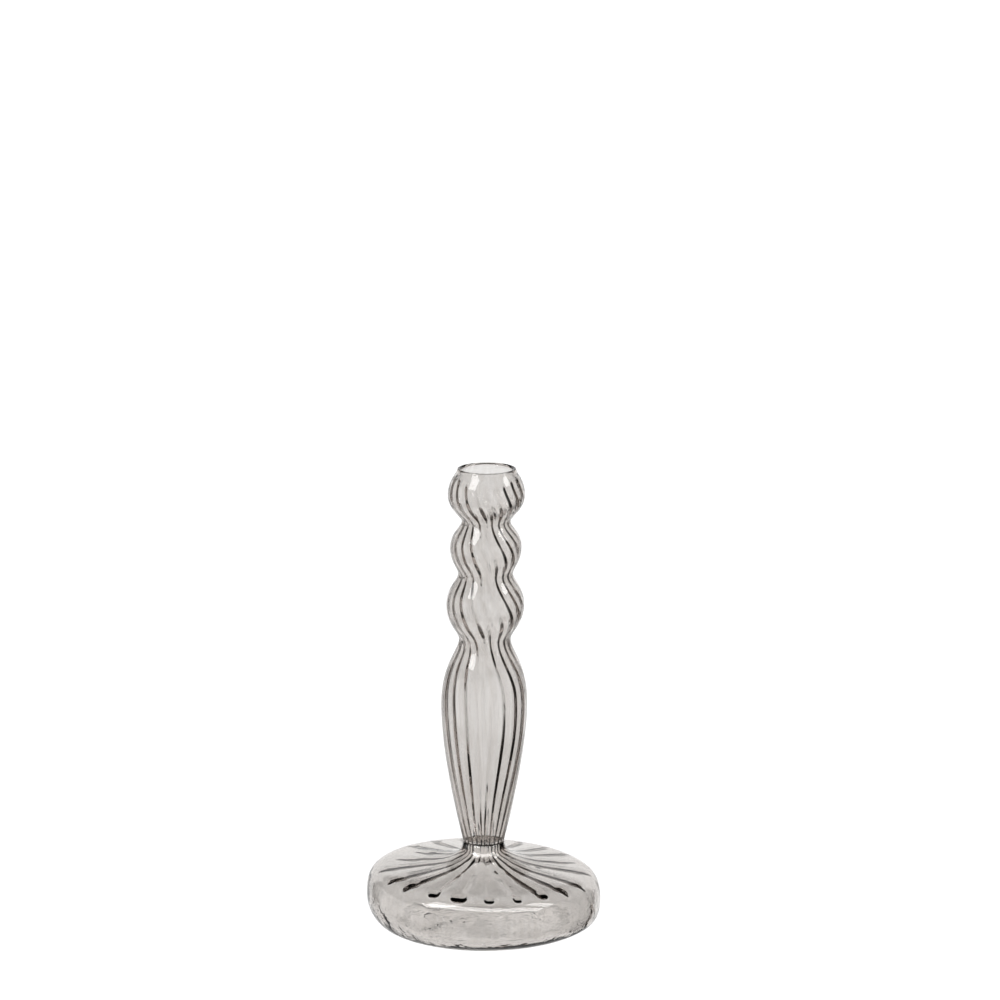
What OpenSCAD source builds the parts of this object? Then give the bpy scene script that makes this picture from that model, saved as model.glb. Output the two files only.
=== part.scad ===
// Glass bud vase: a slender shaft of three bulbs over a baluster, fused to a hollow foot.
// Every part is a glass wall turned about Z. The vase stands on z = 0. Lengths are in mm.
// The wall is drawn as one outer path, from the middle of the floor up to the lip. Each stretch
// of the path is a cubic curve, and the inner face follows it at the wall's thickness.

/* [Radii] */
// Outer radius of the foot at its widest
foot_r = 42.5; // [41:0.1:44]
// Outer radius of the crease where the shaft joins the foot
crease_r = 7.4; // [7.2:0.1:8]
// Outer radius of the baluster at its widest
baluster_r = 15.5; // [14:0.1:17]
// Outer radius of the waist above the baluster
low_waist_r = 9.3; // [9:0.1:10]
// Outer radius of the lower bulb
lower_bulb_r = 14; // [13:0.1:15]
// Outer radius of the waist above the lower bulb
mid_waist_r = 9.8; // [9:0.1:10.5]
// Outer radius of the middle bulb
middle_bulb_r = 12.8; // [12:0.1:14]
// Outer radius of the waist above the middle bulb
top_waist_r = 8.7; // [8.5:0.1:9.5]
// Outer radius of the upper bulb
upper_bulb_r = 13.8; // [13:0.1:15]
// Outer radius of the mouth
mouth_r = 10.5; // [10:0.1:11.5]

/* [Heights] */
// Height of the foot's widest level
foot_z = 11.3; // [10.5:0.1:12]
// Height of the foot's shoulder, where the shallow dome starts
shoulder_z = 21.5; // [21:0.1:22]
// Height of the crease
crease_z = 31.2; // [30:0.1:33]
// Height of the baluster's widest level
baluster_z = 82.7; // [80:0.1:85]
// Height of the waist above the baluster
low_waist_z = 106.7; // [106:0.1:108]
// Height of the lower bulb's widest level
lower_bulb_z = 119.1; // [118:0.1:120]
// Height of the waist above the lower bulb
mid_waist_z = 130.6; // [130:0.1:131]
// Height of the middle bulb's widest level
middle_bulb_z = 140.3; // [139.5:0.1:141]
// Height of the waist above the middle bulb
top_waist_z = 149.7; // [149:0.1:150.5]
// Height of the upper bulb's widest level
upper_bulb_z = 159.4; // [158.5:0.1:160]
// Height of the outer edge of the lip
lip_z = 168.5; // [167:0.1:170]

/* [Glass] */
// Wall thickness where the glass is blown out widest
belly_wall = 1.1; // [0.9:0.1:1.4]
// Wall thickness at the waists
waist_wall = 1.5; // [1.2:0.1:1.7]
// Wall thickness at the crease, where two pieces are fused
crease_wall = 1.8; // [1.4:0.1:2]
// Wall thickness of the lip
lip_wall = 1.2; // [1:0.1:1.5]
// Wall thickness of the foot's side and dome
foot_wall = 1.4; // [1:0.1:1.8]
// Thickness of the floor
floor_wall = 1.8; // [1.4:0.1:2.4]

/* [Foot] */
// Radius at which the shoulder ends and the dome starts
shoulder_r = 34; // [33:0.5:36]
// Inner radius of the ring that the vase rests on
rest_inner_r = 28; // [26:0.5:29]
// Outer radius of the ring that the vase rests on
rest_outer_r = 31.5; // [30.5:0.5:33]
// Height that the floor's middle is pushed up
kick_up = 2.2; // [1:0.1:3]

/* [Hidden] */
$fn = 96;
smoky_glass = [0.78, 0.77, 0.76, 0.5];
steps = 14;                // straight pieces in each stretch of the wall
cap_steps = 10;            // straight pieces round the rolled lip
waist_pull = 0.2;          // how far a curve stays upright leaving a waist, as a share of its height
belly_pull = 0.54;         // the same at a belly
shaft_top_pull = 0.62;     // the same above the baluster's belly
shaft_foot_pull = 0.37;    // the same below the baluster's belly
crease_pull = 0.1;         // the same above the crease
lip_pull = 0.19;           // the same below the lip
crease_lean = 0.22;        // outward run for each mm of rise above the crease
lip_lean = -0.28;          // the same at the lip, which leans inwards
dome_rise = 0.14;          // rise of the dome for each mm inwards at the shoulder
dome_reach = 15;           // run of the dome that keeps the shoulder's slope
collar_drop = 8.2;         // height below the crease at which the collar flares
collar_spread = 0.5;       // extra radius of the collar at that height
shoulder_reach = 6.2;      // run of the shoulder that keeps the dome's slope
side_rise = 6.5;           // height above the widest level that the side stays upright
side_drop = 6.3;           // height below the widest level that the side stays upright
corner_reach = 9;          // run of the bottom corner outside the resting ring
corner_lift = 1.2;         // height of the bottom corner at that run
collar_start = 0.72;       // share of the dome's curve at which the collar begins
lip_start = 0.72;          // share of the topmost curve at which the lip begins

// A point on a cubic curve, and the curve's direction there
function point_on(c, t) =
    pow(1 - t, 3) * c[0] + 3 * t * pow(1 - t, 2) * c[1] + 3 * t * t * (1 - t) * c[2] + pow(t, 3) * c[3];
function direction_on(c, t) =
    pow(1 - t, 2) * (c[1] - c[0]) + 2 * t * (1 - t) * (c[2] - c[1]) + t * t * (c[3] - c[2]);

// The unit vector from the outer face into the wall, which is on the left of the rising path
function inward_on(c, t) =
    let (d = direction_on(c, t)) [-d[1], d[0]] / norm(d);

// A stretch of the wall is [its outer curve, thickness at its start, thickness at its end]
function thickness_on(s, t) = s[1] + (s[2] - s[1]) * t * t * (3 - 2 * t);
function outer_on(s, t) = point_on(s[0], t);
function inner_on(s, t) = outer_on(s, t) + thickness_on(s, t) * inward_on(s[0], t);
function outer_points(s, from = 0, to = 1) =
    [for (i = [0:steps]) outer_on(s, from + (to - from) * i / steps)];
function inner_points(s, from = 0, to = 1) =
    [for (i = [steps:-1:0]) inner_on(s, from + (to - from) * i / steps)];

// A rising stretch between two levels, with its pull, lean and thickness at each end
function rise(r0, z0, r1, z1, pull0, pull1, wall0, wall1, lean0 = 0, lean1 = 0) =
    let (h = z1 - z0)
    [[[r0, z0],
      [r0 + lean0 * pull0 * h, z0 + pull0 * h],
      [r1 - lean1 * pull1 * h, z1 - pull1 * h],
      [r1, z1]],
     wall0, wall1];

floor_stretch = [[[0, kick_up], [rest_inner_r / 2, kick_up], [rest_inner_r * 0.8, 0], [rest_inner_r, 0]],
                 floor_wall, floor_wall];
ring_run = rest_outer_r - rest_inner_r;
ring_stretch = [[[rest_inner_r, 0], [rest_inner_r + ring_run / 3, 0], [rest_outer_r - ring_run / 3, 0],
                 [rest_outer_r, 0]],
                floor_wall, floor_wall];
corner_stretch = [[[rest_outer_r, 0], [rest_outer_r + corner_reach, corner_lift],
                   [foot_r, foot_z - side_drop], [foot_r, foot_z]],
                  floor_wall, foot_wall];
shoulder_stretch = [[[foot_r, foot_z], [foot_r, foot_z + side_rise],
                     [shoulder_r + shoulder_reach, shoulder_z - dome_rise * shoulder_reach],
                     [shoulder_r, shoulder_z]],
                    foot_wall, foot_wall];
dome_stretch = [[[shoulder_r, shoulder_z],
                 [shoulder_r - dome_reach, shoulder_z + dome_rise * dome_reach],
                 [crease_r + collar_spread, crease_z - collar_drop], [crease_r, crease_z]],
                foot_wall, crease_wall];
shaft_foot = rise(crease_r, crease_z, baluster_r, baluster_z, crease_pull, shaft_foot_pull,
                  crease_wall, belly_wall, lean0 = crease_lean);
shaft_top = rise(baluster_r, baluster_z, low_waist_r, low_waist_z, shaft_top_pull, waist_pull,
                 belly_wall, waist_wall);
lower_bulb_foot = rise(low_waist_r, low_waist_z, lower_bulb_r, lower_bulb_z, waist_pull, belly_pull,
                       waist_wall, belly_wall);
lower_bulb_top = rise(lower_bulb_r, lower_bulb_z, mid_waist_r, mid_waist_z, belly_pull, waist_pull,
                      belly_wall, waist_wall);
middle_bulb_foot = rise(mid_waist_r, mid_waist_z, middle_bulb_r, middle_bulb_z, waist_pull, belly_pull,
                        waist_wall, belly_wall);
middle_bulb_top = rise(middle_bulb_r, middle_bulb_z, top_waist_r, top_waist_z, belly_pull, waist_pull,
                       belly_wall, waist_wall);
upper_bulb_foot = rise(top_waist_r, top_waist_z, upper_bulb_r, upper_bulb_z, waist_pull, belly_pull,
                       waist_wall, belly_wall);
upper_bulb_top = rise(upper_bulb_r, upper_bulb_z, mouth_r, lip_z, belly_pull, lip_pull,
                      belly_wall, lip_wall, lean1 = lip_lean);

// The face that the collar shares with the shaft slopes with the shaft's own wall
crease_inner_point = inner_on(shaft_foot, 0);

// The half round that closes the wall at the mouth, from the outer face to the inner face
lip_inward = inward_on(upper_bulb_top[0], 1);
lip_upward = [lip_inward[1], -lip_inward[0]];
lip_middle = outer_on(upper_bulb_top, 1) + lip_inward * lip_wall / 2;
lip_cap = [for (i = [1:cap_steps - 1]) let (a = 180 * i / cap_steps)
    lip_middle + lip_wall / 2 * (lip_upward * sin(a) - lip_inward * cos(a))];

module turned(outline) {
    color(smoky_glass) rotate_extrude() polygon(outline);
}

module foot_base() {
    turned(concat(outer_points(floor_stretch), outer_points(ring_stretch), outer_points(corner_stretch),
                  inner_points(corner_stretch), inner_points(ring_stretch), inner_points(floor_stretch)));
}

module foot_dome() {
    turned(concat(outer_points(shoulder_stretch), outer_points(dome_stretch, 0, collar_start),
                  inner_points(dome_stretch, 0, collar_start), inner_points(shoulder_stretch)));
}

module collar() {
    turned(concat(outer_points(dome_stretch, collar_start, 1), [crease_inner_point],
                  inner_points(dome_stretch, collar_start, 1)));
}

module baluster() {
    turned(concat(outer_points(shaft_foot), outer_points(shaft_top),
                  inner_points(shaft_top), inner_points(shaft_foot)));
}

module lower_bulb() {
    turned(concat(outer_points(lower_bulb_foot), outer_points(lower_bulb_top),
                  inner_points(lower_bulb_top), inner_points(lower_bulb_foot)));
}

module middle_bulb() {
    turned(concat(outer_points(middle_bulb_foot), outer_points(middle_bulb_top),
                  inner_points(middle_bulb_top), inner_points(middle_bulb_foot)));
}

module upper_bulb() {
    turned(concat(outer_points(upper_bulb_foot), outer_points(upper_bulb_top, 0, lip_start),
                  inner_points(upper_bulb_top, 0, lip_start), inner_points(upper_bulb_foot)));
}

module lip() {
    turned(concat(outer_points(upper_bulb_top, lip_start, 1), lip_cap,
                  inner_points(upper_bulb_top, lip_start, 1)));
}

foot_base();
foot_dome();
collar();
baluster();
lower_bulb();
middle_bulb();
upper_bulb();
lip();
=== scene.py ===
"""Looks for the glass bud vase: two blown pieces of smoky ribbed glass, built round the CAD walls."""

import math

import bpy
import numpy as np
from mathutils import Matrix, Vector, noise


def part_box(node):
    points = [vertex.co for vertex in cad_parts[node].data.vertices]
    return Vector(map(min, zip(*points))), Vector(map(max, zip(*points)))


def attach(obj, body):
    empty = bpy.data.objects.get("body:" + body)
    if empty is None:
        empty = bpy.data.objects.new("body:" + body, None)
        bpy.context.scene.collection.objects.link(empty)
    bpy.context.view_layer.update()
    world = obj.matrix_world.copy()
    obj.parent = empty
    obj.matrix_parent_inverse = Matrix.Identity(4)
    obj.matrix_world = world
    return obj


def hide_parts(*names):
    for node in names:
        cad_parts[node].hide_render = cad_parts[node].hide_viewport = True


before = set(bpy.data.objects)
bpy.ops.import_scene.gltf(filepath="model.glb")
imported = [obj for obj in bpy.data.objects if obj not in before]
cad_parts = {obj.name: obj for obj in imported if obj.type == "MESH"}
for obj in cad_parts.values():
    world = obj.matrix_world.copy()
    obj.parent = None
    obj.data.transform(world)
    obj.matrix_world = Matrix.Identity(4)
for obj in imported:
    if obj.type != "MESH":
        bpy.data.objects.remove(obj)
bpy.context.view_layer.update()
scene = bpy.context.scene

MM = 0.001
DEGREE = math.pi / 180

# How the CAD curves are drawn: the share of a stretch that stays upright at a waist or a belly
WAIST_PULL = 0.2
BELLY_PULL = 0.54
SHAFT_TOP_PULL = 0.62
SHAFT_FOOT_PULL = 0.37
CREASE_PULL = 0.1
CREASE_LEAN = 0.22
LIP_PULL = 0.19
LIP_LEAN = -0.28
MOUTH_RADIUS = 10.5 * MM
LIP_DROP = 0.44 * MM  # from the top of the lip down to its outer edge

BELLY_WALL = 1.1 * MM
WAIST_WALL = 1.5 * MM
CREASE_WALL = 1.8 * MM
LIP_WALL = 0.9 * MM  # thinner than in the CAD model, and thickened by a bead at its edge
FOOT_WALL = 1.4 * MM
FLOOR_WALL = 1.8 * MM

SAME_LEVEL = 0.02 * MM  # points this close in height lie on one level of the CAD mesh


def ring(node, z):
    """The largest radius of a CAD node's points at one height."""
    points = (v.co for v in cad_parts[node].data.vertices)
    return max(math.hypot(p.x, p.y) for p in points if abs(p.z - z) < SAME_LEVEL)


def belly(node):
    """The radius and height of a CAD node's widest level."""
    points = [(math.hypot(v.co.x, v.co.y), v.co.z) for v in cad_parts[node].data.vertices]
    widest = max(r for r, _ in points)
    heights = [z for r, z in points if r > widest - 1e-6]
    return widest, sum(heights) / len(heights)


def waist(node):
    """The outer radius and height of the waist that a CAD node stands on."""
    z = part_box(node)[0].z
    return ring(node, z), z


def smooth(low, high, x):
    """0 below low, 1 above high, and an even rise between them."""
    t = np.clip((np.asarray(x, float) - low) / (high - low), 0, 1)
    return t * t * (3 - 2 * t)


def cubic(c, t):
    """Points on a cubic curve of (radius, height), and the unit vectors from there into the wall."""
    c = np.array(c, float)
    t = np.asarray(t, float)[:, None]
    s = 1 - t
    points = s**3 * c[0] + 3 * t * s**2 * c[1] + 3 * t**2 * s * c[2] + t**3 * c[3]
    run = s**2 * (c[1] - c[0]) + 2 * t * s * (c[2] - c[1]) + t**2 * (c[3] - c[2])
    inward = np.stack([-run[:, 1], run[:, 0]], 1)
    return points, inward / np.linalg.norm(inward, axis=1)[:, None]


def rise(low, high, pull_low, pull_high, lean_low=0.0, lean_high=0.0):
    """A rising curve between two (radius, height) points, as in the CAD model."""
    (r0, z0), (r1, z1) = low, high
    h = z1 - z0
    return [
        (r0, z0),
        (r0 + lean_low * pull_low * h, z0 + pull_low * h),
        (r1 - lean_high * pull_high * h, z1 - pull_high * h),
        (r1, z1),
    ]


def path(stretches, spacing):
    """Rows along a chain of (curve, wall at its start, wall at its end): points, inward vectors, walls."""
    rows, inwards, walls = [], [], []
    dense_t = np.linspace(0, 1, 200)
    for i, (curve, wall0, wall1) in enumerate(stretches):
        dense, _ = cubic(curve, dense_t)
        along = np.concatenate([[0], np.cumsum(np.linalg.norm(np.diff(dense, axis=0), axis=1))])
        count = max(2, round(along[-1] / spacing))
        t = np.interp(np.linspace(0, along[-1], count + 1), along, dense_t)
        t = t[1:] if i else t
        points, inward = cubic(curve, t)
        rows.append(points)
        inwards.append(inward)
        walls.append(wall0 + (wall1 - wall0) * smooth(0, 1, t))
    return np.concatenate(rows), np.concatenate(inwards), np.concatenate(walls)


# ---------------------------------------------------------------- the walls' path, from the frame

crease = waist("baluster")
baluster = belly("baluster")
low_waist, mid_waist, top_waist = (waist(n) for n in ("lower_bulb", "middle_bulb", "upper_bulb"))
lower_bulb, middle_bulb, upper_bulb = (belly(n) for n in ("lower_bulb", "middle_bulb", "upper_bulb"))
lip_edge = (MOUTH_RADIUS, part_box("lip")[1].z - LIP_DROP)
foot_r, foot_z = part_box("foot_base")[1].x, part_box("foot_base")[1].z

SHAFT = [
    (rise(crease, baluster, CREASE_PULL, SHAFT_FOOT_PULL, CREASE_LEAN), CREASE_WALL, BELLY_WALL),
    (rise(baluster, low_waist, SHAFT_TOP_PULL, WAIST_PULL), BELLY_WALL, WAIST_WALL),
    (rise(low_waist, lower_bulb, WAIST_PULL, BELLY_PULL), WAIST_WALL, BELLY_WALL),
    (rise(lower_bulb, mid_waist, BELLY_PULL, WAIST_PULL), BELLY_WALL, WAIST_WALL),
    (rise(mid_waist, middle_bulb, WAIST_PULL, BELLY_PULL), WAIST_WALL, BELLY_WALL),
    (rise(middle_bulb, top_waist, BELLY_PULL, WAIST_PULL), BELLY_WALL, WAIST_WALL),
    (rise(top_waist, upper_bulb, WAIST_PULL, BELLY_PULL), WAIST_WALL, BELLY_WALL),
    (rise(upper_bulb, lip_edge, BELLY_PULL, LIP_PULL, 0.0, LIP_LEAN), BELLY_WALL, LIP_WALL),
]


def in_mm(*points):
    """Points given in mm, in metres."""
    return [(r * MM, z * MM) for r, z in points]


# The curves of the foot, as in the CAD model, from the middle of its floor out and up to the crease
FLOOR = in_mm((0, 2.2), (14, 2.2), (22.4, 0), (28, 0))
REST = in_mm((28, 0), (29.2, 0), (30.3, 0), (31.5, 0))
CORNER = in_mm((31.5, 0), (40.5, 1.2)) + [(foot_r, foot_z - 6.3 * MM), (foot_r, foot_z)]
SHOULDER = [(foot_r, foot_z), (foot_r, foot_z + 6.5 * MM)] + in_mm((40.2, 20.632), (34, 21.5))
DOME = in_mm((34, 21.5), (19, 23.6)) + [(crease[0] + 0.5 * MM, crease[1] - 8.2 * MM), crease]
FOOT = [
    (FLOOR, FLOOR_WALL, FLOOR_WALL),
    (REST, FLOOR_WALL, FLOOR_WALL),
    (CORNER, FLOOR_WALL, FOOT_WALL),
    (SHOULDER, FOOT_WALL, FOOT_WALL),
    (DOME, FOOT_WALL, CREASE_WALL),
]

# ---------------------------------------------------------------- ribs

# The shaft was turned while it was soft, more at the waists on its left and more at the bulbs on its
# right. Each entry is (height, half of the height that it takes, turn), from the top down.
LEFT_TURNS = [
    (upper_bulb[1], 10 * MM, 10 * DEGREE),
    (top_waist[1], 4.8 * MM, 17 * DEGREE),
    (middle_bulb[1], 9 * MM, 10 * DEGREE),
    (mid_waist[1], 4.8 * MM, 12.5 * DEGREE),
    (lower_bulb[1], 10 * MM, 10 * DEGREE),
    (low_waist[1], 5 * MM, 20 * DEGREE),
    (90 * MM, 12 * MM, 7 * DEGREE),
    (65 * MM, 22 * MM, 4.5 * DEGREE),
]
RIGHT_TURNS = [
    (upper_bulb[1] - 2.5 * MM, 8.5 * MM, 26 * DEGREE),
    (middle_bulb[1], 9 * MM, 27 * DEGREE),
    (lower_bulb[1], 11 * MM, 30 * DEGREE),
    (97 * MM, 9 * MM, 12.5 * DEGREE),
    (58 * MM, 20 * MM, -11 * DEGREE),
]
FRONT = -90 * DEGREE
SHAFT_RIBS = 19
SHAFT_PHASE = -41.5 * DEGREE


def turned_by(turns, z):
    """How far a list of turns has gone at a height, from the top down."""
    return sum(turn * smooth(-half, half, height - z) for height, half, turn in turns)


def swirl(angle, z):
    """The direction, seen from above, of a line that starts at this angle at the lip."""
    left, right = turned_by(LEFT_TURNS, z), turned_by(RIGHT_TURNS, z)
    return angle + left + (right - left) * smooth(-0.8, 0.8, np.cos(angle + (left + right) / 2))


CREST, TOE = 0.18, 0.18  # shares of a rib's flank that are rounded at its crest and at its foot


def ridge(u):
    """A rib's height across it: 1 on the crest, straight flanks, 0 from |u| = 1 on."""
    u = np.abs(u)
    full = 1 - CREST / 2 - TOE / 2
    crest = full - u**2 / (2 * CREST)
    flank = full - CREST / 2 - (u - CREST)
    toe = np.clip(1 - u, 0, None) ** 2 / (2 * TOE)
    return np.where(u < CREST, crest, np.where(u < 1 - TOE, flank, toe)) / full


ACROSS_RIB = [-1, -0.91, -0.82, -0.5, -0.18, -0.09, 0, 0.09, 0.18, 0.5, 0.82, 0.91, 1]
ACROSS_GAP = [0.25, 0.5, 0.75]


def columns(starts, half_width, across_rib):
    """Angles of the mesh columns of a ribbed wall, and each column's place across its rib. starts are the
    ribs' angles in order, and half_width is a rib's half width as an angle, one for each row."""
    step = np.diff(np.append(starts, starts[0] + 2 * math.pi))
    angles, across, ribs = [], [], []
    for k, start in enumerate(starts):
        for u in across_rib:
            angles.append(start + u * half_width)
            across.append(u)
            ribs.append(k)
        for v in ACROSS_GAP:
            angles.append(start + half_width + v * (step[k] - 2 * half_width))
            across.append(1.0)
            ribs.append(k)
    return np.stack(angles, 1), np.array(across), np.array(ribs)


def grid_faces(rows, cols, close):
    """Quads between the rows of a grid that goes right round. close joins the last row to the first."""
    index = np.arange(rows * cols).reshape(rows, cols)
    if close:
        index = np.concatenate([index, index[:1]])
    right = np.roll(index, -1, axis=1)
    quads = np.stack([index[:-1], right[:-1], right[1:], index[1:]], -1)
    return quads.reshape(-1, 4)


def mesh_object(name, verts, faces, material):
    """A smooth-shaded object in the scene, made of these points and faces."""
    mesh = bpy.data.meshes.new(name)
    mesh.from_pydata(verts.tolist(), [], [list(f) for f in faces])
    mesh.validate()
    mesh.shade_smooth()
    mesh.materials.append(material)
    made = bpy.data.objects.new(name, mesh)
    scene.collection.objects.link(made)
    return made


def lumps(radius, angle, z, size, amount, seed):
    """Hand-made unevenness: a smooth offset for each point of a turned wall, from noise of this size."""
    x, y, z = np.broadcast_arrays(radius * np.cos(angle), radius * np.sin(angle), z)
    places = np.stack([x.ravel(), y.ravel(), z.ravel()], 1) / size + seed
    offset = np.array([noise.noise(Vector(p)) for p in places])
    return amount * offset.reshape(x.shape)


# ---------------------------------------------------------------- materials

SMOKE_TINT = (0.812, 0.787, 0.768)
SMOKE_DENSITY = 420
STREAK_SCALE = (900, 900, 70)  # cords in the glass: about a millimetre wide and many times as long
STREAK_TINT = (0.955, 0.95, 0.94, 1)
STREAK_RANGE = (0.35, 0.6)  # the noise values between which a cord fades into clear glass
WRINKLE_SCALE = (270, 270, 430)  # fine wandering wrinkles in the side wall of the foot
WRINKLE_TOP = (12 * MM, 17 * MM)  # they fade out between these heights
WRINKLE_DEPTH = 0.11 * MM
SCUFF_TOP = 0.12 * MM  # how far up from the ring the glass is scuffed
SCUFF_ROUGHNESS = 0.2


def glass(name, tint, density):
    """Clear glass that takes its smoky colour from its thickness, with faint cords drawn out along it,
    wrinkles in the side wall of the foot, and a scuffed ring where the foot stands."""
    material = bpy.data.materials.new(name)
    material.use_nodes = True
    tree = material.node_tree
    shader = tree.nodes["Principled BSDF"]
    shader.inputs["IOR"].default_value = 1.5
    shader.inputs["Transmission Weight"].default_value = 1.0
    place = tree.nodes.new("ShaderNodeTexCoord")

    stretch = tree.nodes.new("ShaderNodeVectorMath")
    stretch.operation = "MULTIPLY"
    stretch.inputs[1].default_value = STREAK_SCALE
    tree.links.new(place.outputs["Object"], stretch.inputs[0])
    cords = tree.nodes.new("ShaderNodeTexNoise")
    cords.inputs["Scale"].default_value = 1.0
    cords.inputs["Detail"].default_value = 3.0
    tree.links.new(stretch.outputs[0], cords.inputs["Vector"])
    tones = tree.nodes.new("ShaderNodeValToRGB")
    tones.color_ramp.elements[0].position = STREAK_RANGE[0]
    tones.color_ramp.elements[0].color = STREAK_TINT
    tones.color_ramp.elements[1].position = STREAK_RANGE[1]
    tones.color_ramp.elements[1].color = (1, 1, 1, 1)
    tree.links.new(cords.outputs["Fac"], tones.inputs["Fac"])
    tree.links.new(tones.outputs["Color"], shader.inputs["Base Color"])

    height = tree.nodes.new("ShaderNodeSeparateXYZ")
    tree.links.new(place.outputs["Object"], height.inputs[0])
    scuffs = tree.nodes.new("ShaderNodeMapRange")
    scuffs.inputs["From Min"].default_value = SCUFF_TOP
    scuffs.inputs["From Max"].default_value = 0
    scuffs.inputs["To Min"].default_value = 0
    scuffs.inputs["To Max"].default_value = SCUFF_ROUGHNESS
    tree.links.new(height.outputs["Z"], scuffs.inputs["Value"])
    tree.links.new(scuffs.outputs["Result"], shader.inputs["Roughness"])

    spread = tree.nodes.new("ShaderNodeVectorMath")
    spread.operation = "MULTIPLY"
    spread.inputs[1].default_value = WRINKLE_SCALE
    tree.links.new(place.outputs["Object"], spread.inputs[0])
    wrinkles = tree.nodes.new("ShaderNodeTexNoise")
    wrinkles.noise_type = "RIDGED_MULTIFRACTAL"
    wrinkles.inputs["Scale"].default_value = 1.0
    wrinkles.inputs["Detail"].default_value = 2.0
    wrinkles.inputs["Distortion"].default_value = 0.8
    tree.links.new(spread.outputs[0], wrinkles.inputs["Vector"])
    low_on_wall = tree.nodes.new("ShaderNodeMapRange")
    low_on_wall.interpolation_type = "SMOOTHSTEP"
    low_on_wall.inputs["From Min"].default_value = WRINKLE_TOP[1]
    low_on_wall.inputs["From Max"].default_value = WRINKLE_TOP[0]
    tree.links.new(height.outputs["Z"], low_on_wall.inputs["Value"])
    bump = tree.nodes.new("ShaderNodeBump")
    bump.inputs["Distance"].default_value = WRINKLE_DEPTH
    tree.links.new(wrinkles.outputs["Fac"], bump.inputs["Height"])
    tree.links.new(low_on_wall.outputs["Result"], bump.inputs["Strength"])
    tree.links.new(bump.outputs["Normal"], shader.inputs["Normal"])

    smoke = tree.nodes.new("ShaderNodeVolumeAbsorption")
    smoke.inputs["Color"].default_value = (*tint, 1)
    smoke.inputs["Density"].default_value = density
    tree.links.new(smoke.outputs["Volume"], tree.nodes["Material Output"].inputs["Volume"])
    return material


# ---------------------------------------------------------------- the shaft

LEAN_AT_LIP = 1.2 * MM
LEAN_END = lip_edge[1] + 60 * MM  # past the lip, so that the lean still grows there


def lean(z):
    """How far the shaft has drifted to +X at a height."""
    return LEAN_AT_LIP * smooth(crease[1], LEAN_END, z) / smooth(crease[1], LEAN_END, lip_edge[1])


LIP_BEAD, LIP_ROUND = 0.5 * MM, 0.65 * MM  # the melted rim: how much it thickens, and how high it rises
LIP_BEAD_RISE = (-2 * MM, -0.5 * MM)  # the bead swells between these heights from the lip's edge
LIP_STEPS = 8
RIB_HALF = 0.135  # half of a shaft rib's width, in radians
RIB_HEIGHT = 0.62 * MM
RIB_FADE = (5 * MM, 1.5 * MM)  # the ribs fade out between these depths below the lip
RIB_STRAY = 0.4 * DEGREE  # spread of the ribs' places
RIB_VARIETY = 0.08  # spread of the ribs' heights, as a share
SHAFT_ROW = 1.0 * MM  # spacing of the mesh's rows
SHAFT_LUMPS = (9 * MM, 0.04 * MM, 3)  # size, amount and seed


def build_shaft(material):
    """The shaft from the crease to the lip: a smooth outside, a ribbed inside, and a rounded lip."""
    random = np.random.default_rng(7)
    outer, inward, wall = path(SHAFT, SHAFT_ROW)
    fade_start, fade_end = RIB_FADE
    rib_height = RIB_HEIGHT * (1 - smooth(lip_edge[1] - fade_start, lip_edge[1] - fade_end, outer[:, 1]))
    starts = np.arange(SHAFT_RIBS) * 2 * math.pi / SHAFT_RIBS + FRONT + SHAFT_PHASE
    starts = starts + random.normal(0, RIB_STRAY, SHAFT_RIBS)
    strength = random.normal(1, RIB_VARIETY, SHAFT_RIBS)
    base, across, ribs = columns(starts, np.full(len(outer), RIB_HALF), ACROSS_RIB)
    shape = ridge(across) * strength[ribs] * rib_height[:, None]
    z = outer[:, 1:]
    turned = swirl(base, z)

    def place(depth):
        r = outer[:, :1] + inward[:, :1] * depth
        h = outer[:, 1:] + inward[:, 1:] * depth
        return np.stack(np.broadcast_arrays(r * np.cos(turned) + lean(h), r * np.sin(turned), h), -1)

    outside = place(lumps(outer[:, :1], turned, z, *SHAFT_LUMPS))
    lip_bead = LIP_BEAD * smooth(*LIP_BEAD_RISE, z - lip_edge[1])
    inside = place(wall[:, None] + shape + lip_bead)
    cap_middle = (outside[-1] + inside[-1]) / 2
    half = (outside[-1] - inside[-1]) / 2
    up = np.array([0, 0, LIP_ROUND])
    arcs = [math.pi * i / LIP_STEPS for i in range(1, LIP_STEPS)]
    cap = np.stack([cap_middle + half * math.cos(a) + up * math.sin(a) for a in arcs])
    grid = np.concatenate([outside, cap, inside[::-1]])
    rows, cols = grid.shape[:2]
    return mesh_object("shaft_glass", grid.reshape(-1, 3), grid_faces(rows, cols, True), material)


# ---------------------------------------------------------------- the foot

FOOT_RIBS = 21
FOOT_PHASE = 3.3 * DEGREE
FOOT_TILT = 2.1 * DEGREE  # the left side stands higher
FOOT_ROW = 0.9 * MM  # spacing of the mesh's rows
FOOT_RIB_HALF = 3.6 * MM
FOOT_RIB_SHARE = 0.44  # the most of the ribs' spacing that half a rib takes
CREST_ROUND = 0.06  # how much of a foot rib's half width is rounded at its crest
RIB_RISE = (-1, 1.5)  # a rib rises between these depths below the crease, in mm
RIB_END = (-4.5, -1)  # and gives way to its drop between these distances past the drop's radius, in mm
DROP_END = 1.1  # where a drop's near flank meets the wall, as a share of its length
DROP_SWELL = 2.2  # scales a drop's outline to its width
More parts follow.
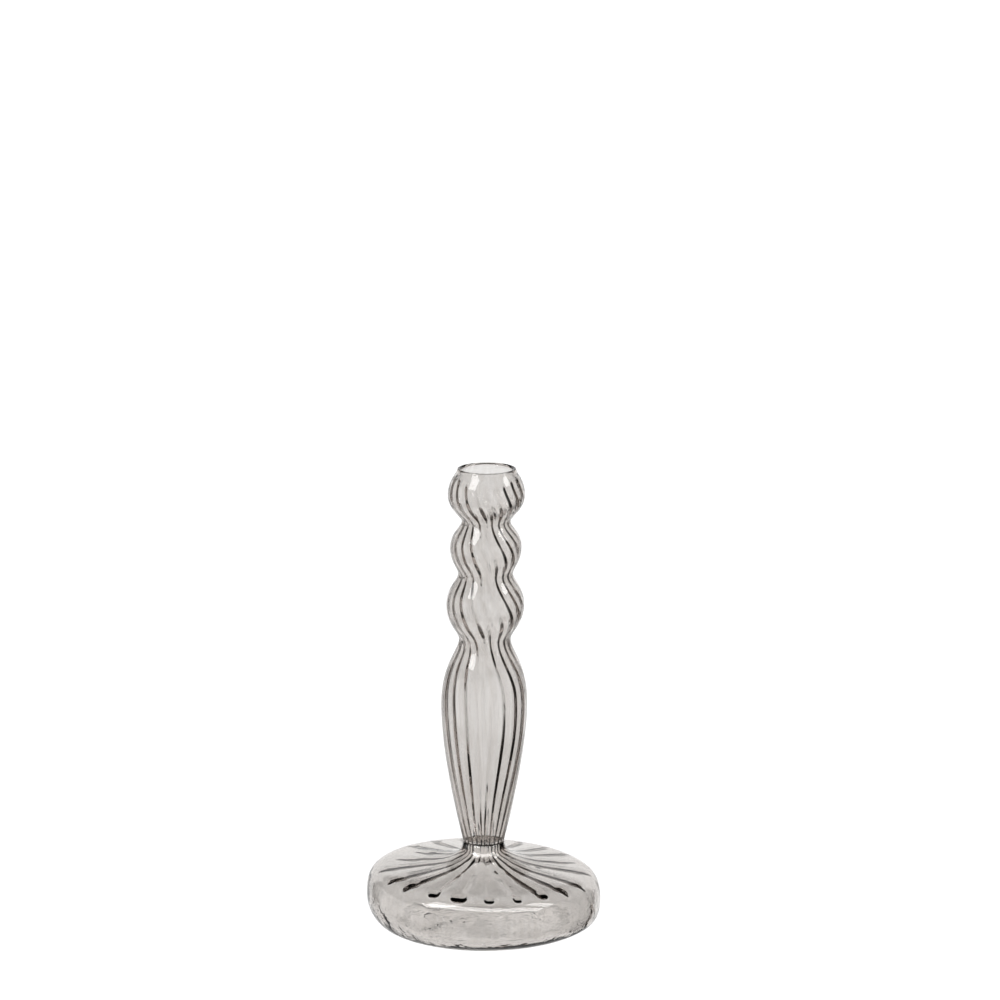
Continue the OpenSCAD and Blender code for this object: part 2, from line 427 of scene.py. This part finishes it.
# Seen from the front, the near flank of a drop is its dark one, so the front drops peak at their far end
DROP_PEAK = (0.25, 0.75)  # the place of a drop's peak along it, at the front and at the back
DROP_TAPER = (0.5, 1.2)  # how sharply a drop starts, at the front and at the back
DOME_START = 2 * MM  # how far above the side wall the ribs and drops may start
TILT_RISE, TILT_SPREAD = (0, 6 * MM), (9 * MM, 22 * MM)  # heights and radii where the tilt sets in
BEAD, BEAD_DEPTH, BEAD_REACH = 1.5 * MM, 3 * MM, 1.7 * MM  # the thick glass just below the crease
OFF_THE_RING = (1 * MM, 6 * MM)  # the ring stays flat, and the unevenness sets in between these heights
OFF_THE_AXIS = (8 * MM, 14 * MM)  # and between these radii
WALL_TOP = (15 * MM, 20 * MM)  # heights between which the side wall's waves fade out
CREASE_ZONE = (5, 9)  # depths below the crease where its roughness ends, in mm
# Unevenness of the foot: (size, amount, seed)
FOOT_LUMPS = (11 * MM, 1, 5)
UNEVEN_OUTSIDE, UNEVEN_INSIDE = 0.07 * MM, 0.03 * MM
WALL_WAVES = (6 * MM, 0.22 * MM, 8)
WALL_RIPPLES = (2.6 * MM, 0.06 * MM, 4)
RIPPLE_FLATNESS = 2  # how much wider than tall the ripples are
CREASE_LUMPS = (3 * MM, 0.45 * MM, 2)
ACROSS_FOOT_RIB = [i / 9 for i in range(-9, 10)]

# The ribs near the front, by their place to the right of the front one. Each is (its shift in degrees,
# its height, the radius that its drop reaches to, and the drop's length, width and height in mm).
FRONT_RIBS = {
    -7: (-3, 0.60, 27, 10, 2.6, 1.10),
    -6: (0, 0.75, 31, 12, 2.6, 1.10),
    -5: (1, 1.05, 38, 10, 2.4, 1.10),
    -4: (3, 1.10, 39, 11, 2.0, 1.30),
    -3: (0, 0.90, 39.2, 10, 2.0, 1.40),
    -2: (2, 0.22, 38.6, 4.2, 1.9, 0.95),
    -1: (0, 0.20, 39.2, 4.8, 2.6, 1.10),
    0: (0, 0.22, 38.8, 3.4, 1.6, 0.80),
    1: (-1, 0.20, 38.6, 2.8, 1.4, 0.65),
    2: (-2, 0.60, 38.2, 5.0, 2.0, 1.20),
    3: (-3, 0.95, 39.4, 10, 2.0, 1.35),
    4: (-4.8, 1.10, 40, 10, 2.0, 1.20),
    5: (0, 1.00, 38, 8, 2.4, 1.10),
    6: (0, 0.85, 33, 12, 2.2, 1.00),
}

# The other ribs: the spread of their shifts, and the ranges of the same five sizes
OTHER_SHIFT = 1.5
OTHER_SIZES = [(0.4, 0.55), (35.5, 37.5), (3.2, 5), (1.6, 2.6), (0.45, 0.8)]


def foot_rib(k, random):
    """One foot rib's own shape, in degrees and mm: chosen near the front and drawn at random elsewhere."""
    drawn = (random.normal(0, OTHER_SHIFT), *(random.uniform(*sizes) for sizes in OTHER_SIZES))
    from_front = (k + FOOT_RIBS // 2) % FOOT_RIBS - FOOT_RIBS // 2
    return FRONT_RIBS.get(from_front, drawn)


def build_foot(material):
    """The hollow foot up to the crease: a smooth outside, an inside with ribs and drops, and a floor."""
    random = np.random.default_rng(11)
    outer, inward, wall = (rows[1:] for rows in path(FOOT, FOOT_ROW))  # without the one point on the axis
    radius, z = outer[:, :1], outer[:, 1:]
    spacing = 2 * math.pi / FOOT_RIBS
    shifts, heights, drop_r, drop_long, drop_wide, drop_high = np.array(
        [foot_rib(k, random) for k in range(FOOT_RIBS)]
    ).T
    starts = np.arange(FOOT_RIBS) * spacing + FRONT + FOOT_PHASE + shifts * DEGREE
    rib_half = np.minimum(FOOT_RIB_HALF / radius, FOOT_RIB_SHARE * spacing)
    turned, across, ribs = columns(starts, rib_half[:, 0], ACROSS_FOOT_RIB)
    r, below_crease = radius / MM, (crease[1] - z) / MM
    crest = np.sqrt(across**2 + CREST_ROUND**2) - CREST_ROUND
    rib = heights[ribs] * np.clip(1 - crest, 0, None) ** 2 * (1 - smooth(*RIB_END, r - drop_r[ribs]))
    rib = rib * smooth(*RIB_RISE, below_crease)
    # Along a drop: 0 at the end nearer to the shaft, and 1 at drop_r
    sideways = np.abs(across) * rib_half * r
    along = (r - drop_r[ribs]) / drop_long[ribs] + 1
    to_back = (1 + np.sin(starts[ribs])) / 2
    peak = DROP_PEAK[0] + (DROP_PEAK[1] - DROP_PEAK[0]) * to_back
    taper = DROP_TAPER[0] + (DROP_TAPER[1] - DROP_TAPER[0]) * to_back
    wide = drop_wide[ribs] * np.clip(along, 0, 1) ** taper * np.sqrt(np.clip(DROP_END - along, 1e-6, 1))
    length_shape = np.clip(np.minimum(along / peak, (DROP_END - along) / (DROP_END - peak)), 0, 1)
    drop = drop_high[ribs] * length_shape * np.clip(1 - (sideways / (DROP_SWELL * wide + 1e-6)) ** 4, 0, None)
    shape = np.maximum(rib, drop) * MM * (z > foot_z + DOME_START)

    tilted = smooth(*TILT_RISE, z) * smooth(*TILT_SPREAD, radius)
    tilt = -math.tan(FOOT_TILT) * radius * tilted * np.cos(turned)
    off_the_ring = smooth(*OFF_THE_RING, z)
    uneven = lumps(radius, turned, z, *FOOT_LUMPS) * off_the_ring * smooth(*OFF_THE_AXIS, radius)
    wavy = lumps(radius, turned, z, *WALL_WAVES)
    wavy = wavy + lumps(radius, turned, RIPPLE_FLATNESS * z, *WALL_RIPPLES)
    wavy = wavy * (1 - smooth(*WALL_TOP, z)) * off_the_ring
    bead = BEAD * np.exp(-(((z - crease[1] + BEAD_DEPTH) / BEAD_REACH) ** 2))
    rough = lumps(radius, turned, z, *CREASE_LUMPS) * (1 - smooth(*CREASE_ZONE, below_crease))

    def place(depth):
        r = outer[:, :1] + inward[:, :1] * depth
        h = outer[:, 1:] + inward[:, 1:] * depth + tilt
        return np.stack([r * np.cos(turned), r * np.sin(turned), h], -1)

    outside = place(UNEVEN_OUTSIDE * uneven)
    inside = place(wall[:, None] + shape + UNEVEN_INSIDE * uneven[:, ::-1] + wavy + bead + rough)
    grid = np.concatenate([outside, inside[::-1]])
    rows, cols = grid.shape[:2]
    verts = grid.reshape(-1, 3)
    faces = [list(f) for f in grid_faces(rows, cols, False)]
    low = len(verts)
    floor_z = FLOOR[0][1]
    verts = np.concatenate([verts, [[0, 0, floor_z], [0, 0, floor_z + FLOOR_WALL]]])
    last = (rows - 1) * cols
    for j in range(cols):
        k = (j + 1) % cols
        faces.append([low, k, j])
        faces.append([low + 1, last + j, last + k])
    return mesh_object("foot_glass", verts, faces, material)


# ---------------------------------------------------------------- the two pieces

smoky = glass("smoky_glass", SMOKE_TINT, SMOKE_DENSITY)
shaft = build_shaft(smoky)
foot = build_foot(smoky)
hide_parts("lip", "upper_bulb", "middle_bulb", "lower_bulb", "baluster")
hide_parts("collar", "foot_dome", "foot_base")
for piece in (shaft, foot):
    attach(piece, "root")
    piece.visible_diffuse = False

# ---------------------------------------------------------------- floor, light and camera

FLOOR_RADIUS = 6
FLOOR_SIDES = 96
FLOOR_GREY = 0.93
FLOOR_DROP = 0.1 * MM  # keeps the floor clear of the ring that the vase stands on


def floor():
    """A pale round floor that only the camera and diffuse light see, not the glass."""
    angles = np.linspace(0, 2 * math.pi, FLOOR_SIDES, endpoint=False)
    verts = [(FLOOR_RADIUS * math.cos(a), FLOOR_RADIUS * math.sin(a), 0) for a in angles]
    material = bpy.data.materials.new("pale_floor")
    material.use_nodes = True
    shader = material.node_tree.nodes["Principled BSDF"]
    shader.inputs["Base Color"].default_value = (FLOOR_GREY, FLOOR_GREY, FLOOR_GREY, 1)
    shader.inputs["Roughness"].default_value = 0.9
    shader.inputs["Specular IOR Level"].default_value = 0.0
    made = mesh_object("floor", np.array(verts), [list(range(FLOOR_SIDES))], material)
    made.location.z = -FLOOR_DROP
    made.visible_transmission = False
    made.visible_glossy = False


floor()

world = bpy.data.worlds.new("studio")
scene.world = world
world.use_nodes = True
wt = world.node_tree
wt.nodes.clear()


def math_node(op, a, b):
    """The result of a math node on two values, each a number or another node's output."""
    made = wt.nodes.new("ShaderNodeMath")
    made.operation = op
    for i, value in enumerate((a, b)):
        if isinstance(value, (int, float)):
            made.inputs[i].default_value = value
        else:
            wt.links.new(value, made.inputs[i])
    return made.outputs[0]


def ramp(low, high, value):
    """A smooth step of a node's output from 0 at low to 1 at high."""
    made = wt.nodes.new("ShaderNodeMapRange")
    made.interpolation_type = "SMOOTHSTEP"
    made.inputs["From Min"].default_value = low
    made.inputs["From Max"].default_value = high
    wt.links.new(value, made.inputs["Value"])
    return made.outputs["Result"]


coords = wt.nodes.new("ShaderNodeTexCoord")
split = wt.nodes.new("ShaderNodeSeparateXYZ")
wt.links.new(coords.outputs["Generated"], split.inputs[0])
dz = split.outputs["Z"]
flat = wt.nodes.new("ShaderNodeVectorMath")
flat.operation = "MULTIPLY"
flat.inputs[1].default_value = (1, 1, 0)
wt.links.new(coords.outputs["Generated"], flat.inputs[0])
heading = wt.nodes.new("ShaderNodeVectorMath")
heading.operation = "NORMALIZE"
wt.links.new(flat.outputs[0], heading.inputs[0])

# White boards round the vase, which only the glass sees. Each is (bearing from straight behind, half
# width, lowest and highest slope, level), with the angles in degrees.
BOARDS = [
    (0, 40, -0.62, 0.45, 1.0),
    (-90, 34, -0.34, 0.26, 0.85),
    (135, 36, -0.42, 0.38, 0.85),
    (-45, 36, -0.62, -0.30, 0.85),
]
BOARD_EDGE = 4  # half the width of a board's soft edge, in degrees
SLOPE_EDGE = 0.03  # and the same for its top and bottom edges, as a slope
BELOW = (-0.60, -0.66)  # the slopes between which a steep look downwards turns white
DARK_LEVEL = 0.03  # what the glass sees between the boards
BACKDROP_STRENGTH = 1.2  # what the camera sees, and what lights the floor


def board(bearing, half, low, high, level):
    """How bright one board is in the direction that a ray looks."""
    aim = wt.nodes.new("ShaderNodeVectorMath")
    aim.operation = "DOT_PRODUCT"
    wt.links.new(heading.outputs[0], aim.inputs[0])
    aim.inputs[1].default_value = (math.sin(bearing * DEGREE), math.cos(bearing * DEGREE), 0)
    outer_edge, inner_edge = (math.cos((half + edge) * DEGREE) for edge in (BOARD_EDGE, -BOARD_EDGE))
    wide = ramp(outer_edge, inner_edge, aim.outputs["Value"])
    above_bottom = ramp(low - SLOPE_EDGE, low + SLOPE_EDGE, dz)
    below_top = ramp(high + SLOPE_EDGE, high - SLOPE_EDGE, dz)
    tall = math_node("MULTIPLY", above_bottom, below_top)
    return math_node("MULTIPLY", math_node("MULTIPLY", wide, tall), level)


light = ramp(*BELOW, dz)
for entry in BOARDS:
    light = math_node("MAXIMUM", light, board(*entry))
level = math_node("ADD", math_node("MULTIPLY", light, 1 - DARK_LEVEL), DARK_LEVEL)

rays = wt.nodes.new("ShaderNodeLightPath")
seen_by_glass = math_node("MAXIMUM", rays.outputs["Is Transmission Ray"], rays.outputs["Is Glossy Ray"])
strength = wt.nodes.new("ShaderNodeMix")
strength.data_type = "FLOAT"
wt.links.new(seen_by_glass, strength.inputs["Factor"])
strength.inputs["A"].default_value = BACKDROP_STRENGTH
wt.links.new(level, strength.inputs["B"])
background = wt.nodes.new("ShaderNodeBackground")
background.inputs["Color"].default_value = (1, 1, 1, 1)
wt.links.new(strength.outputs["Result"], background.inputs["Strength"])
world_out = wt.nodes.new("ShaderNodeOutputWorld")
wt.links.new(background.outputs[0], world_out.inputs[0])

LIGHTS_AIM = Vector((0, 0, 100 * MM))


def softbox(name, azimuth, elevation, distance, size, radiance):
    """A rectangular light aimed at the vase's middle. Azimuth 0 is in front, and positive is to the right."""
    a, e = azimuth * DEGREE, elevation * DEGREE
    away = Vector((math.sin(a) * math.cos(e), -math.cos(a) * math.cos(e), math.sin(e)))
    data = bpy.data.lights.new(name, "AREA")
    data.shape = "RECTANGLE"
    data.size, data.size_y = size
    data.energy = radiance * math.pi * data.size * data.size_y
    made = bpy.data.objects.new(name, data)
    made.location = LIGHTS_AIM + away * distance
    made.rotation_euler = away.to_track_quat("Z", "Y").to_euler()
    made.visible_camera = False
    made.visible_diffuse = False
    made.visible_transmission = False
    scene.collection.objects.link(made)
    return made


softbox("left_softbox", azimuth=-50, elevation=44, distance=1.2, size=(0.45, 0.7), radiance=6.5)
softbox("right_softbox", azimuth=80, elevation=44, distance=1.2, size=(0.32, 0.6), radiance=6.5)
# The long light overhead draws the crescent on the foot's shoulder, and lights nothing else
top_softbox = softbox("top_softbox", azimuth=0, elevation=47, distance=1.5, size=(4.2, 0.65), radiance=7.0)
lit_from_above = bpy.data.collections.new("lit_from_above")
lit_from_above.objects.link(foot)
top_softbox.light_linking.receiver_collection = lit_from_above

CAMERA_PLACE = (0.00595, -1.4288, 0.4637)
CAMERA_PITCH = 12.1 * DEGREE
CAMERA_LENS, CAMERA_SENSOR = 147.6, 36
GAMMA = 0.8  # the photo's deep contrast
BOUNCES = 9  # more would lighten the light trapped in the walls

camera_data = bpy.data.cameras.new("camera")
camera_data.lens = CAMERA_LENS
camera_data.sensor_width = CAMERA_SENSOR
camera = bpy.data.objects.new("camera", camera_data)
camera.location = CAMERA_PLACE
camera.rotation_euler = (math.pi / 2 - CAMERA_PITCH, 0, 0)
scene.collection.objects.link(camera)
scene.camera = camera

scene.view_settings.view_transform = "Standard"
scene.view_settings.gamma = GAMMA
scene.cycles.max_bounces = BOUNCES
scene.cycles.transmission_bounces = BOUNCES
scene.cycles.glossy_bounces = BOUNCES
scene.cycles.use_denoising = True
